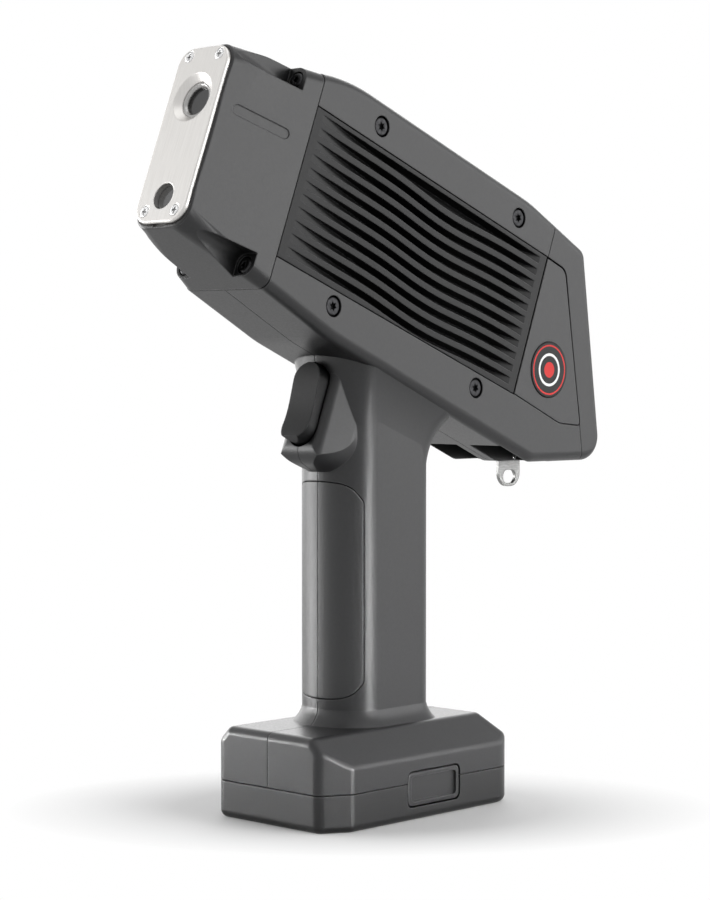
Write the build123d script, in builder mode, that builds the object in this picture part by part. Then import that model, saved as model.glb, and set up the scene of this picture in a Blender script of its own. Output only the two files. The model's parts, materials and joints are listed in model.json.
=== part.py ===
from build123d import *
import os
from math import cos, pi, radians, sin

os.makedirs("parts", exist_ok=True)

# Handheld X-ray fluorescence analyzer.
# Millimetres, +Z up, the nose points along -Y, origin at the centre of the foot's underside.
# Body coordinates: x across, s back from the face of the nose plate, t up across the tilted body.

# ---- Fits ----
seam_gap = 0.3
parting_gap = 0.2
slide_gap = 0.4
seat_gap = 0.15
screw_gap = 0.08
pin_gap = 0.05

# ---- Tilted body ----
body_tilt = 21.0
nose_y = -85.5
nose_z = 232.4
body_half = 20.3
wall = 2.5
edge_round = 3.6
nose_length = 35.8
front_top = 37.4
front_belly = -40.2
body_top = 41.2
hood_top = 36.5
belly_break = 71.0
belly_depth = -44.9
belly_rear = 184.0
belly_rear_depth = -48.6
rear_low = (223.9, -33.4)
rear_high = 185.9
hood_start = 150.0
crown_start = 47.6

# ---- Nose ----
nose_tip_half = 12.6
nose_tip_top = 32.2
nose_tip_belly = -32.4
nose_front_corner = 7.0
nose_rear_corner = 4.2
nose_front_edge = 0.5
nose_front_wall = 4.0
plate_half_width = 12.0
plate_half_height = 31.45
plate_corner = 6.5
plate_thickness = 2.2
plate_proud = 1.5
plate_edge = 0.45
window_height = 13.1
window_mouth = 8.7
window_throat = 6.1
ring_outer = 8.4
ring_bore = 4.8
ring_thickness = 1.6
film_thickness = 0.3
camera_height = -22.1
camera_bore = 4.55
plate_screw_x = 7.25
plate_screw_top = 28.2
plate_screw_low = -27.3
plate_screw_head = 2.0
plate_screw_shank = 1.0
plate_screw_length = 5.0
notch_width = 5.6
notch_height = 0.7
legend_start = 6.5
legend_end = 28.6
legend_height = 11.15
legend_width = 3.7
legend_depth = 0.35
scallop_end = 28.9
scallop_reach = 4.1
scallop_round = 3.8
scallop_lean = 1.4
scallop_wall = 1.6
corner_screw_x = 14.3
corner_screw_top = 31.8
corner_screw_low = -34.6
corner_screw_head = 2.8
corner_screw_head_height = 2.2
corner_screw_sunk = 1.9
corner_screw_shank = 1.5
corner_screw_length = 14.0
nose_boss_radius = 4.5
boss_radius = 3.3

# ---- Heat-sink side panels ----
panel_end = 165.3
panel_top = 25.6
panel_low = -28.9
panel_depth = 5.9
ledge_depth = 1.5
ledge_width = 4.0
groove_count = 11
groove_start = 39.4
groove_end = 161.4
groove_ramp = 38.0
groove_runout = 9.0
groove_top = 23.7
groove_pitch = 4.75
groove_width = 2.6
groove_depth = 5.0
wave_height = 1.8
wave_centre = 110.0
wave_length = 74.0

# ---- Side screws through the body ----
side_screw_front = 66.7
side_screw_rear = 144.8
side_screw_top = 32.2
side_screw_low = -34.0
side_screw_head = 3.4
side_screw_head_height = 2.2
side_screw_shank = 2.0
side_screw_length = 14.0
side_boss = 4.6

# ---- Rear side panels and badge ----
rear_panel_depth = 2.2
rear_panel_backing = 2.2
badge_s = 180.8
badge_t = -13.3
badge_radius = 10.3
badge_thickness = 1.4
badge_proud = 0.3

# ---- Display hood ----
glass_width = 34.6
glass_thickness = 1.2
glass_corner = 2.5
glass_margin = 3.3
display_side_border = 0.6
display_end_border = 1.25
display_thickness = 3.4
key_width = 12.0
key_height = 4.4
key_edge = 11.8
key_gap = 1.3
key_rim = 1.0
key_travel = 0.8
key_proud = 0.6
key_flange = 0.8

# ---- Rear pockets and lanyard tab ----
pocket_front = 53.5
pocket_rear = 82.5
pocket_ceiling = 127.6
rib_half = 3.2
lanyard_y = 79.4
lanyard_root = 125.5
lanyard_thickness = 1.4
lanyard_width = 12.0
lanyard_eye_z = 115.0
lanyard_eye_length = 7.2
lanyard_eye_height = 5.0
lanyard_rim = 1.2
lanyard_pin_radius = 1.0

# ---- Handle ----
handle_half = 16.3
handle_front = -22.6
handle_rear = 20.3
handle_nose = 13.0
handle_corner = 8.0
handle_wall = 2.6
handle_top = 150.0
neck_low = -78.0
neck_high = -42.0
neck_side = 3.5
neck_front = 2.5
neck_rear = 17.0
grip_edge = -14.8
grip_top = 117.0
grip_low = 41.0
grip_thickness = 1.3

# ---- Trigger ----
pod_front = 86.8
pod_low = -83.0
pod_half = 8.6
pod_rear = 98.5
pod_rear_half = 13.4
pod_round = 4.0
trigger_face = 82.5
trigger_half = 6.2
trigger_top = -48.0
trigger_low = -76.6
trigger_depth = 6.0
trigger_lip = 1.5
trigger_pull = 5.0
pin_s = 90.6
pin_t = -49.0
pin_radius = 1.25
hub_radius = 2.9
switch_front = 91.6
switch_height = -66.0

# ---- Base and foot ----
split_height = 13.2
base_half = 30.0
base_front = -47.0
base_rear = 48.0
base_cut_width = 6.0
base_cut_length = 11.0
base_front_round = 4.0
base_rear_round = 9.0
base_top = 32.0
shoulder_height = 22.0
shoulder_half = 20.5
rear_bevel = 39.0
flare_height = 10.0
flare_width = 4.1
base_wall = 3.0
base_edge_round = 3.0
foot_round = 2.6
foot_post_front = 14.0
foot_post_rear = 10.0
foot_post_side = 10.0
foot_post_radius = 3.2
foot_screw_head = 2.2
foot_screw_shank = 1.2

# ---- Battery ----
battery_gap = 0.5
battery_wall = 1.5
battery_top = 94.0
flange_thickness = 2.5
cell_width = 10.6
cell_front = -11.6
cell_rear = 14.6
cell_height = 74.0
latch_front = -9.2
latch_rear = 18.2
latch_low = 4.6
latch_high = 17.3
latch_corner = 2.5
latch_thickness = 3.0
latch_rim = 1.7
latch_recess = 1.0
latch_travel = 2.0
latch_stem = 6.0

# ---- Insides ----
chassis_half = 12.1
chassis_bar = 3.0
chassis_front = 60.0
chassis_rear = 158.0
chassis_top = 36.2
chassis_low = -36.6
tube_radius = 8.0
tube_tilt = 22.0
tube_start = 22.0
tube_length = 52.0
detector_radius = 6.5
detector_tilt = 20.0
detector_length = 22.0
snout_half = 11.0
snout_depth = 24.0
supply_length = 52.0
supply_height = 24.0
supply_half = 11.0
board_thickness = 1.6
board_half = 11.0
board_front = 72.0
board_rear = 150.0
board_height = 26.0
standoff_radius = 2.0
chip_height = 1.4
chip_size = 14.0
contact_height = 5.0


tilt = radians(body_tilt)
body_frame = Plane(origin=(0, nose_y, nose_z), x_dir=(0, cos(tilt), -sin(tilt)), z_dir=(1, 0, 0))


def body_point(x, s, t):
    return body_frame.from_local_coords(Vector(s, t, x))


def across(s):
    """Plane square to the body axis, seen from the nose: local x across, local y up."""
    return Plane(origin=body_point(0, s, 0), x_dir=(1, 0, 0), z_dir=(0, -cos(tilt), sin(tilt)))


def deck(t):
    """Plane along the body axis: local x back, local y towards -X."""
    back = (0, cos(tilt), -sin(tilt))
    return Plane(origin=body_point(0, 0, t), x_dir=back, z_dir=(0, sin(tilt), cos(tilt)))


def level(z):
    """Level plane: local x back, local y towards -X."""
    return Plane(origin=(0, 0, z), x_dir=(0, 1, 0), z_dir=(0, 0, 1))


def deck_s(y, t):
    """Distance back along the body at height t of a point with world depth y."""
    return (y - nose_y - t * sin(tilt)) / cos(tilt)


def save(name, part):
    part.label = name
    export_step(part, "parts/" + name + ".step")
    print(name, round(part.volume, 1))


# ---- Outlines ----


def body_outline(inset=0.0):
    with BuildSketch() as outline:
        with BuildLine():
            FilletPolyline(
                (nose_length, front_belly),
                (belly_break, belly_depth),
                (belly_rear, belly_rear_depth),
                rear_low,
                (rear_high, hood_top),
                (hood_start, body_top),
                (crown_start, body_top),
                (nose_length, front_top),
                radius=(60, 8, 9, 5, 60, 74),
            )
            Line((nose_length, front_top), (nose_length, front_belly))
        make_face()
        if inset:
            offset(amount=-inset)
    return outline.sketch


def grip_section(half, front, rear, nose, corner):
    """Handle section: half ellipse in front, rounded corners behind."""
    with BuildSketch() as section:
        with BuildLine():
            bow = EllipticalCenterArc((front + nose, 0), nose, half, 90, arc_size=180)
            FilletPolyline(bow @ 1, (rear, -half), (rear, half), bow @ 0, radius=corner)
        make_face()
    return section.sketch


def handle_section(inset=0.0):
    return grip_section(
        handle_half - inset,
        handle_front + inset,
        handle_rear - inset,
        handle_nose - inset,
        handle_corner - inset,
    )


def base_plan(inset=0.0):
    with BuildSketch() as plan:
        with BuildLine():
            FilletPolyline(
                (base_front, -base_half + base_cut_width),
                (base_front, base_half - base_cut_width),
                (base_front + base_cut_length, base_half),
                (base_rear, base_half),
                (base_rear, -base_half),
                (base_front + base_cut_length, -base_half),
                radius=(
                    base_front_round,
                    base_front_round,
                    base_front_round,
                    base_rear_round,
                    base_rear_round,
                    base_front_round,
                ),
                close=True,
            )
        make_face()
        if inset:
            offset(amount=-inset)
    return plan.sketch


def heat_sink_outline(inset=0.0):
    with BuildSketch() as outline:
        with BuildLine():
            Polyline(
                (nose_length + inset, panel_low + inset),
                (panel_end - inset, panel_low + inset),
                (panel_end - inset, panel_top - inset),
                (nose_length + inset, panel_top - inset),
                close=True,
            )
        make_face()
    return outline.sketch


def rear_panel_outline(inset=0.0):
    with BuildSketch() as outline:
        with BuildLine():
            FilletPolyline(
                (panel_end, panel_low + 0.2),
                (panel_end, panel_top - 0.3),
                (176.8, 25.0),
                (206.2, -26.3),
                (194.0, -29.8),
                radius=(0, 0, 5, 1.5, 12),
                close=True,
            )
        make_face()
        if inset:
            offset(amount=-inset, kind=Kind.INTERSECTION)
    return outline.sketch


def hood_region(inset=0.0):
    with BuildSketch() as region:
        with BuildLine():
            FilletPolyline(
                (panel_end, 60),
                (panel_end, panel_top - 0.3),
                (176.8, 25.0),
                (218.6, -49.9),
                (250, -49.9),
                (250, 60),
                radius=(0, 0, 5, 0, 0, 0),
                close=True,
            )
        make_face()
        if inset:
            offset(amount=-inset, kind=Kind.INTERSECTION)
    return region.sketch


# ---- Outer forms ----


def body_form():
    with BuildPart() as form:
        with BuildSketch(body_frame):
            add(body_outline())
        extrude(amount=body_half, both=True)
        rims = form.faces().filter_by(Axis.X).edges()
        seam = nose_length + 0.5
        long_rims = rims.filter_by(lambda edge: body_frame.to_local_coords(edge.center()).X > seam)
        fillet(long_rims, edge_round)
    return form.part


def neck_form():
    with BuildPart() as neck:
        steps = 5
        for step in range(steps + 1):
            share = step / steps
            t = neck_low + (neck_high - neck_low) * share
            grow = share**3
            side = handle_half - 0.35 + neck_side * grow
            front = deck_s(handle_front + 0.35 - neck_front * grow, t)
            rear = deck_s(handle_rear - 0.35 + neck_rear * grow, t)
            with BuildSketch(deck(t)):
                add(grip_section(side, front, rear, handle_nose, handle_corner + 0.4))
        loft()
    return neck.part


def flare_form():
    with BuildPart() as flare:
        steps = 4
        for step in range(steps + 1):
            share = step / steps
            grow = flare_width * (1 - share) ** 3 - 0.3
            with BuildSketch(level(base_top - 0.4 + flare_height * share)):
                add(handle_section(-grow))
        loft()
    return flare.part


def base_form():
    with BuildPart() as base:
        with BuildSketch(level(split_height)):
            add(base_plan())
        extrude(amount=base_top - split_height)
        with BuildSketch(Plane.XZ) as front_view:
            with BuildLine():
                Polyline(
                    (-base_half - 1, split_height - 1),
                    (base_half + 1, split_height - 1),
                    (base_half + 1, shoulder_height - 1),
                    (shoulder_half, base_top),
                    (-shoulder_half, base_top),
                    (-base_half - 1, shoulder_height - 1),
                    close=True,
                )
            make_face()
        extrude(amount=2 * base_rear, both=True, mode=Mode.INTERSECT)
        with BuildSketch(Plane.YZ) as side_view:
            with BuildLine():
                Polyline(
                    (base_front - 1, split_height - 1),
                    (base_rear + 1, split_height - 1),
                    (base_rear + 1, shoulder_height - 1),
                    (rear_bevel, base_top),
                    (base_front - 1, base_top),
                    close=True,
                )
            make_face()
        extrude(amount=2 * base_half, both=True, mode=Mode.INTERSECT)
        upper = base.edges().filter_by(lambda edge: edge.bounding_box().max.Z > shoulder_height + 0.5)
        fillet(upper, base_edge_round)
    return base.part


def pod_form():
    with BuildPart() as pod:
        with BuildSketch(deck(pod_low - 6)):
            with BuildLine():
                FilletPolyline(
                    (112, -pod_rear_half),
                    (pod_rear, -pod_rear_half),
                    (pod_front, -pod_half),
                    (pod_front, pod_half),
                    (pod_rear, pod_rear_half),
                    (112, pod_rear_half),
                    radius=(pod_round, pod_round, pod_round, pod_round),
                )
                Line((112, pod_rear_half), (112, -pod_rear_half))
            make_face()
        extrude(amount=neck_high - pod_low + 6)
        with BuildSketch(body_frame):
            with BuildLine():
                FilletPolyline(
                    (pod_front - 2, neck_high),
                    (pod_front - 2, neck_high - 4),
                    (pod_front, neck_high - 12),
                    (pod_front, pod_low + 1.5),
                    (97.5, pod_low),
                    (112, pod_low + 8),
                    (112, neck_high),
                    radius=(0, 0, 6, 4, 0),
                )
                Line((112, neck_high), (pod_front - 2, neck_high))
            make_face()
        extrude(amount=2 * pod_rear_half, both=True, mode=Mode.INTERSECT)
        with BuildSketch(across(pod_front - 6)):
            with Locations((0, neck_high)):
                SlotOverall(2 * (neck_high - pod_low), 2 * pod_rear_half, rotation=90)
        extrude(amount=-60, mode=Mode.INTERSECT)
    return pod.part


def corner_spots():
    """Across-and-up places of the four screws at the back corners of the nose."""
    return [
        (corner_screw_x, corner_screw_top),
        (-corner_screw_x, corner_screw_top),
        (corner_screw_x, corner_screw_low),
        (-corner_screw_x, corner_screw_low),
    ]


def side_spots():
    """Back-and-up places of the four screws on each side of the body."""
    return [
        (side_screw_front, side_screw_top),
        (side_screw_rear, side_screw_top),
        (side_screw_front, side_screw_low),
        (side_screw_rear, side_screw_low),
    ]


def scallop(t, rise, grow=0.0):
    """Scoop along a nose corner, ending in a wall at the screw that stands at height t."""
    inner = corner_screw_x - scallop_reach - grow
    with BuildPart() as scoop:
        with BuildSketch(deck(t - rise * (scallop_reach + grow))):
            with BuildLine():
                Polyline(
                    (-scallop_end, -inner - scallop_lean),
                    (scallop_end / 2, -inner - scallop_lean),
                    (scallop_end + grow, -inner),
                    (scallop_end + grow, -2 * body_half),
                    (-scallop_end, -2 * body_half),
                    close=True,
                )
            make_face()
        extrude(amount=rise * body_half)
        edges = scoop.edges().sort_by(lambda edge: edge.distance_to(body_point(0, 0, 0)))
        fillet(edges[0:2], scallop_round + grow)
    return scoop.part


def scallops(grow=0.0):
    with BuildPart() as scoops:
        add(scallop(corner_screw_top, 1, grow))
        add(scallop(corner_screw_low, -1, grow))
        mirror(about=Plane.YZ)
    return scoops.part


# ---- Nose ----


def nose_size(s):
    """Half width, top and belly of the nose at distance s."""
    half = nose_tip_half + (body_half - nose_tip_half) / nose_length * s
    top = nose_tip_top + (front_top - nose_tip_top) / nose_length * s
    low = nose_tip_belly + (front_belly - nose_tip_belly) / nose_length * s
    return half, top, low


def nose_taper(inset=0.0, start=0.0, end=0.0):
    """Tapered block: plan outline met by side outline."""
    front_half, front_high, front_low = nose_size(start)
    rear_half, rear_top, rear_belly = nose_size(end)
    with BuildPart() as block:
        with BuildSketch(deck(2 * front_belly)):
            with BuildLine():
                Polyline(
                    (start, front_half - inset),
                    (end, rear_half - inset),
                    (end, inset - rear_half),
                    (start, inset - front_half),
                    close=True,
                )
            make_face()
        extrude(amount=-4 * front_belly)
        with BuildSketch(body_frame):
            with BuildLine():
                Polyline(
                    (start, front_high - inset),
                    (end, rear_top - inset),
                    (end, rear_belly + inset),
                    (start, front_low + inset),
                    close=True,
                )
            make_face()
        extrude(amount=2 * body_half, both=True, mode=Mode.INTERSECT)
    return block.part


def nose_form():
    """Outside of the nose: rounded front section drawn out to the body's section."""
    with BuildPart() as form:
        for s, corner in ((plate_proud, nose_front_corner), (nose_length, nose_rear_corner)):
            half, top, low = nose_size(s)
            with BuildSketch(across(s)):
                with Locations((0, (top + low) / 2)):
                    RectangleRounded(2 * half, top - low, corner)
        loft()
        front = form.faces().sort_by(Axis((0, 0, 0), across(0).z_dir))[-1]
        chamfer(front.edges(), nose_front_edge)
    return form.part


def nose_cavity():
    """Room in the nose, less the walls of the scoops and the screw bosses."""
    with BuildPart() as room:
        add(nose_taper(wall, plate_proud + nose_front_wall, nose_length + 1))
        add(scallops(scallop_wall), mode=Mode.SUBTRACT)
        with BuildSketch(across(scallop_end)):
            with Locations(*corner_spots()):
                Circle(nose_boss_radius)
        extrude(amount=-nose_length, mode=Mode.SUBTRACT)
    return room.part


def make_nose_housing():
    face_s = plate_proud
    with BuildPart() as cut:
        add(nose_form())
        add(nose_cavity(), mode=Mode.SUBTRACT)
        add(scallops(), mode=Mode.SUBTRACT)
        with BuildSketch(across(scallop_end - 1)):
            with Locations(*corner_spots()):
                Circle(corner_screw_head + seam_gap)
        extrude(amount=-(corner_screw_sunk + 1), mode=Mode.SUBTRACT)
        with BuildSketch(across(nose_length + 1)):
            with Locations(*corner_spots()):
                Circle(corner_screw_shank + screw_gap)
        extrude(amount=nose_length - scallop_end, mode=Mode.SUBTRACT)
        with BuildSketch(across(face_s - 1)):
            RectangleRounded(
                2 * (plate_half_width + seat_gap),
                2 * (plate_half_height + seat_gap),
                plate_corner + seat_gap,
            )
        extrude(amount=-(plate_thickness - face_s + 1), mode=Mode.SUBTRACT)
        with BuildSketch(across(face_s - 1)):
            with Locations((0, window_height)):
                Circle(ring_outer + seat_gap)
        extrude(amount=-(1 - face_s + plate_thickness + ring_thickness), mode=Mode.SUBTRACT)
        with BuildSketch(across(face_s - 1)):
            with Locations((0, window_height)):
                Circle(window_throat)
            with Locations((0, camera_height)):
                Circle(camera_bore + 0.6)
        extrude(amount=-(nose_front_wall + 3), mode=Mode.SUBTRACT)
        with BuildSketch(across(face_s - 1)):
            with Locations(
                (plate_screw_x, plate_screw_top),
                (-plate_screw_x, plate_screw_top),
                (plate_screw_x, plate_screw_low),
                (-plate_screw_x, plate_screw_low),
            ):
                Circle(plate_screw_shank + screw_gap)
        extrude(amount=-(plate_screw_length + 1), mode=Mode.SUBTRACT)
        with BuildSketch(across(0)):
            with Locations((0, -plate_half_height - notch_height / 2)):
                Rectangle(notch_width, notch_height + seat_gap)
        extrude(amount=-plate_thickness, mode=Mode.SUBTRACT)
        for flank in (1, -1):
            with BuildSketch(body_frame.offset(flank * body_half)):
                with Locations(((legend_start + legend_end) / 2, legend_height)):
                    SlotOverall(legend_end - legend_start, legend_width)
            cutter = extrude(amount=-flank * body_half / 2, mode=Mode.PRIVATE)
            add(cutter & legend_skin(), mode=Mode.SUBTRACT)
    return cut.part


def legend_skin():
    """Thin layer just under the flanks of the nose."""
    with BuildPart() as skin:
        add(nose_taper(-1, plate_proud, nose_length))
        add(nose_taper(legend_depth, plate_proud - 1, nose_length + 1), mode=Mode.SUBTRACT)
    return skin.part


def make_nose_plate():
    with BuildPart() as plate:
        with BuildSketch(across(0)):
            RectangleRounded(2 * plate_half_width, 2 * plate_half_height, plate_corner)
        extrude(amount=-plate_thickness)
        front = plate.faces().sort_by(Axis((0, 0, 0), across(0).z_dir))[-1]
        chamfer(front.edges(), plate_edge)
        with BuildSketch(across(0)):
            with Locations((0, window_height)):
                Circle(window_mouth)
        with BuildSketch(across(plate_thickness)):
            with Locations((0, window_height)):
                Circle(window_throat)
        loft(mode=Mode.SUBTRACT)
        with BuildSketch(across(0)):
            with Locations((0, camera_height)):
                Circle(camera_bore)
        extrude(amount=-plate_thickness, mode=Mode.SUBTRACT)
        with Locations(across(0)):
            with Locations(
                (plate_screw_x, plate_screw_top),
                (-plate_screw_x, plate_screw_top),
                (plate_screw_x, plate_screw_low),
                (-plate_screw_x, plate_screw_low),
            ):
                CounterSinkHole(
                    plate_screw_shank + screw_gap,
                    plate_screw_head + screw_gap,
                    depth=plate_thickness,
                    counter_sink_angle=90,
                )
    return plate.part


def countersunk_screw(head, shank, length, recess):
    """Screw along -Z from a flat head whose top lies at the origin."""
    with BuildPart() as screw:
        with BuildSketch(Plane.XZ):
            with BuildLine():
                Polyline(
                    (0, 0),
                    (head, 0),
                    (shank, shank - head),
                    (shank, -length),
                    (0, -length),
                    close=True,
                )
            make_face()
        revolve(axis=Axis.Z)
        with BuildSketch(Plane.XY):
            Rectangle(recess, recess / 3.2)
            Rectangle(recess / 3.2, recess)
        extrude(amount=-0.7, mode=Mode.SUBTRACT)
    return screw.part


def button_screw(head, head_height, shank, length, recess):
    """Screw along -Z: domed head standing on Z=0 with a six-lobed recess."""
    with BuildPart() as screw:
        Cylinder(head, head_height, align=(Align.CENTER, Align.CENTER, Align.MIN))
        chamfer(screw.faces().sort_by(Axis.Z)[-1].edges(), head_height * 0.25)
        Cylinder(shank, length, align=(Align.CENTER, Align.CENTER, Align.MAX))
        with BuildSketch(Plane.XY.offset(head_height)):
            RegularPolygon(recess, 3)
            RegularPolygon(recess, 3, rotation=180)
        extrude(amount=-head_height * 0.6, mode=Mode.SUBTRACT)
    return screw.part


def make_plate_screws():
    screw = countersunk_screw(plate_screw_head, plate_screw_shank, plate_screw_length, 2.2)
    with BuildPart() as group:
        with Locations(across(0)):
            with Locations(
                (plate_screw_x, plate_screw_top),
                (-plate_screw_x, plate_screw_top),
                (plate_screw_x, plate_screw_low),
                (-plate_screw_x, plate_screw_low),
            ):
                add(screw)
    return group.part


def make_corner_screws():
    screw = button_screw(
        corner_screw_head,
        corner_screw_head_height,
        corner_screw_shank,
        corner_screw_length,
        corner_screw_head * 0.55,
    )
    with BuildPart() as group:
        with Locations(across(scallop_end + corner_screw_sunk)):
            with Locations(*corner_spots()):
                add(screw)
    return group.part


def make_window_ring():
    with BuildPart() as ring:
        with BuildSketch(across(plate_thickness)):
            with Locations((0, window_height)):
                Circle(ring_outer)
                Circle(ring_bore, mode=Mode.SUBTRACT)
        extrude(amount=-ring_thickness)
        inner = ring.edges().filter_by(GeomType.CIRCLE).filter_by(lambda edge: edge.radius < ring_bore + 0.1)
        chamfer(inner.sort_by(Axis((0, 0, 0), across(0).z_dir))[-1], 0.7)
    return ring.part


def make_window_film():
    film_s = plate_thickness + ring_thickness
    with BuildPart() as film:
        with BuildSketch(across(film_s)):
            with Locations((0, window_height)):
                Circle(window_throat - seat_gap)
        extrude(amount=-film_thickness)
    return film.part


def make_camera_lens():
    with BuildPart() as lens:
        with BuildSketch(across(plate_thickness)):
            with Locations((0, camera_height)):
                Circle(camera_bore + 0.6 - seat_gap)
        extrude(amount=-(nose_front_wall + plate_proud - plate_thickness - 0.2))
    return lens.part


def make_camera_module():
    start = plate_proud + nose_front_wall
    with BuildPart() as module:
        with BuildSketch(across(start)):
            with Locations((0, camera_height)):
                Rectangle(11, 9)
        extrude(amount=-2)
        with BuildSketch(across(start)):
            with Locations((0, camera_height)):
                Circle(3.6)
        extrude(amount=-8)
        with BuildSketch(across(start + 8)):
            with Locations((0, camera_height)):
                Rectangle(11, 9)
        extrude(amount=-1.2)
    return module.part


def make_snout_block():
    start = plate_proud + nose_front_wall
    with BuildPart() as block:
        with BuildSketch(body_frame):
            with BuildLine():
                Polyline(
                    (start, window_height - 11),
                    (start + snout_depth, window_height - 17),
                    (start + snout_depth, window_height + 11),
                    (start, window_height + 11),
                    close=True,
                )
            make_face()
        extrude(amount=snout_half, both=True)
        add(probe(tube_radius + seat_gap, -tube_tilt, tube_start - seat_gap, 60), mode=Mode.SUBTRACT)
        add(probe(detector_radius + seat_gap, detector_tilt, tube_start - seat_gap, 60), mode=Mode.SUBTRACT)
        add(probe(4.2, -tube_tilt, 0, 60), mode=Mode.SUBTRACT)
        add(probe(3.6, detector_tilt, 0, 60), mode=Mode.SUBTRACT)
    return block.part


def probe(radius, angle, start, length):
    """Cylinder on a line that leaves the window centre, tilted up by angle."""
    turn = radians(angle)
    window_s = plate_thickness + ring_thickness + film_thickness
    origin = body_point(0, window_s + start * cos(turn), window_height + start * sin(turn))
    target = body_point(0, window_s + (start + 1) * cos(turn), window_height + (start + 1) * sin(turn))
    with BuildPart() as rod:
        with BuildSketch(Plane(origin=origin, z_dir=target - origin)):
            Circle(radius)
        extrude(amount=length)
    return rod.part


def make_xray_tube():
    with BuildPart() as tube:
        add(probe(tube_radius - 1.5, -tube_tilt, tube_start, tube_length))
        add(probe(tube_radius, -tube_tilt, tube_start, 16))
        add(probe(tube_radius, -tube_tilt, tube_start + tube_length - 24, 20))
    return tube.part


def make_detector():
    with BuildPart() as detector:
        add(probe(detector_radius, detector_tilt, tube_start, detector_length))
        add(probe(detector_radius - 1.5, detector_tilt, tube_start + detector_length, 3))
    return detector.part


# ---- Body ----


def make_housing():
    """Both moulded halves in one, before they are parted down the middle."""
    with BuildPart() as housing:
        add(body_form())
        add(neck_form())
        with BuildSketch(level(base_top - 1)):
            add(handle_section())
        extrude(amount=handle_top - base_top + 1)
        add(flare_form())
        add(base_form())
        add(pod_form())
        # body cavity, open at the nose
        with BuildSketch(body_frame):
            add(body_outline(wall))
            with BuildLine():
                Polyline(
                    (nose_length - 1, front_belly + wall),
                    (nose_length + 6, front_belly + wall),
                    (nose_length + 6, front_top - wall),
                    (nose_length - 1, front_top - wall),
                    close=True,
                )
            make_face()
        extrude(amount=body_half - wall, both=True, mode=Mode.SUBTRACT)
        # handle bay, from the foot to the body cavity
        with BuildSketch(level(split_height - 1)):
            add(handle_section(handle_wall))
        extrude(amount=handle_top - split_height + 1, mode=Mode.SUBTRACT)
        # base cavity
        with BuildSketch(level(split_height - 1)):
            add(base_plan(base_wall))
        extrude(amount=shoulder_height - split_height - 0.5, mode=Mode.SUBTRACT)
        # nose seam
        with BuildSketch(body_frame):
            with Locations((nose_length + seam_gap / 2, 0)):
                Rectangle(seam_gap + 0.002, 120)
        extrude(amount=2 * body_half, both=True, mode=Mode.SUBTRACT)
    return housing.part


def panel_ledges():
    """Frames inside both flanks that carry the heat sinks, and backing for the rear panels."""
    ledge_face = body_half - panel_depth
    with BuildPart() as ledges:
        for flank in (1, -1):
            with BuildSketch(body_frame.offset(flank * (ledge_face - ledge_depth))):
                add(heat_sink_outline(-3.0))
                add(heat_sink_outline(ledge_width), mode=Mode.SUBTRACT)
            extrude(amount=flank * (panel_depth + ledge_depth - wall / 2))
            with BuildSketch(body_frame.offset(flank * (body_half - rear_panel_depth - rear_panel_backing))):
                add(rear_panel_outline(-2.0))
            extrude(amount=flank * (rear_panel_backing + 1))
        add(body_form(), mode=Mode.INTERSECT)
    return ledges.part


def screw_bosses():
    with BuildPart() as bosses:
        with BuildSketch(across(nose_length)):
            with Locations(*corner_spots()):
                Circle(boss_radius)
        extrude(amount=-11)
        for flank in (1, -1):
            with BuildSketch(body_frame.offset(flank * (chassis_half + 0.1))):
                with Locations(*side_spots()):
                    Circle(side_boss)
            extrude(amount=flank * (body_half - chassis_half - 1))
        add(body_form(), mode=Mode.INTERSECT)
    return bosses.part


def make_shell_pair():
    ledge_face = body_half - panel_depth
    with BuildPart() as shell:
        add(make_housing())
        add(panel_ledges())
        add(screw_bosses())
        add(pocket_block())
        add(pockets(), mode=Mode.SUBTRACT)
        # nose screws
        with BuildSketch(across(nose_length - 1)):
            with Locations(*corner_spots()):
                Circle(corner_screw_shank + screw_gap)
        extrude(amount=-13, mode=Mode.SUBTRACT)
        # display hood and seams
        with BuildSketch(body_frame):
            add(hood_region())
        extrude(amount=2 * body_half, both=True, mode=Mode.SUBTRACT)
        with BuildSketch(body_frame):
            with Locations((nose_length, 0)):
                Rectangle(2 * seam_gap, 120)
        extrude(amount=2 * body_half, both=True, mode=Mode.SUBTRACT)
        for flank in (1, -1):
            # heat-sink opening
            with BuildSketch(body_frame.offset(flank * ledge_face)):
                add(heat_sink_outline())
            extrude(amount=flank * (panel_depth + 1), mode=Mode.SUBTRACT)
            # rear panel pocket
            with BuildSketch(body_frame.offset(flank * (body_half - rear_panel_depth))):
                add(rear_panel_outline())
            extrude(amount=flank * (rear_panel_depth + 1), mode=Mode.SUBTRACT)
            # side screws
            with BuildSketch(body_frame.offset(flank * chassis_half)):
                with Locations(*side_spots()):
                    Circle(side_screw_shank + screw_gap)
            extrude(amount=flank * body_half, mode=Mode.SUBTRACT)
            with BuildSketch(body_frame.offset(flank * (body_half - side_screw_head_height - 0.3))):
                with Locations(*side_spots()):
                    Circle(side_screw_head + seam_gap)
            extrude(amount=flank * 5, mode=Mode.SUBTRACT)
        add(trigger_room(), mode=Mode.SUBTRACT)
        add(latch_room(), mode=Mode.SUBTRACT)
        add(grip_region(), mode=Mode.SUBTRACT)
        add(lanyard_room(), mode=Mode.SUBTRACT)
    return shell.part


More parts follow.
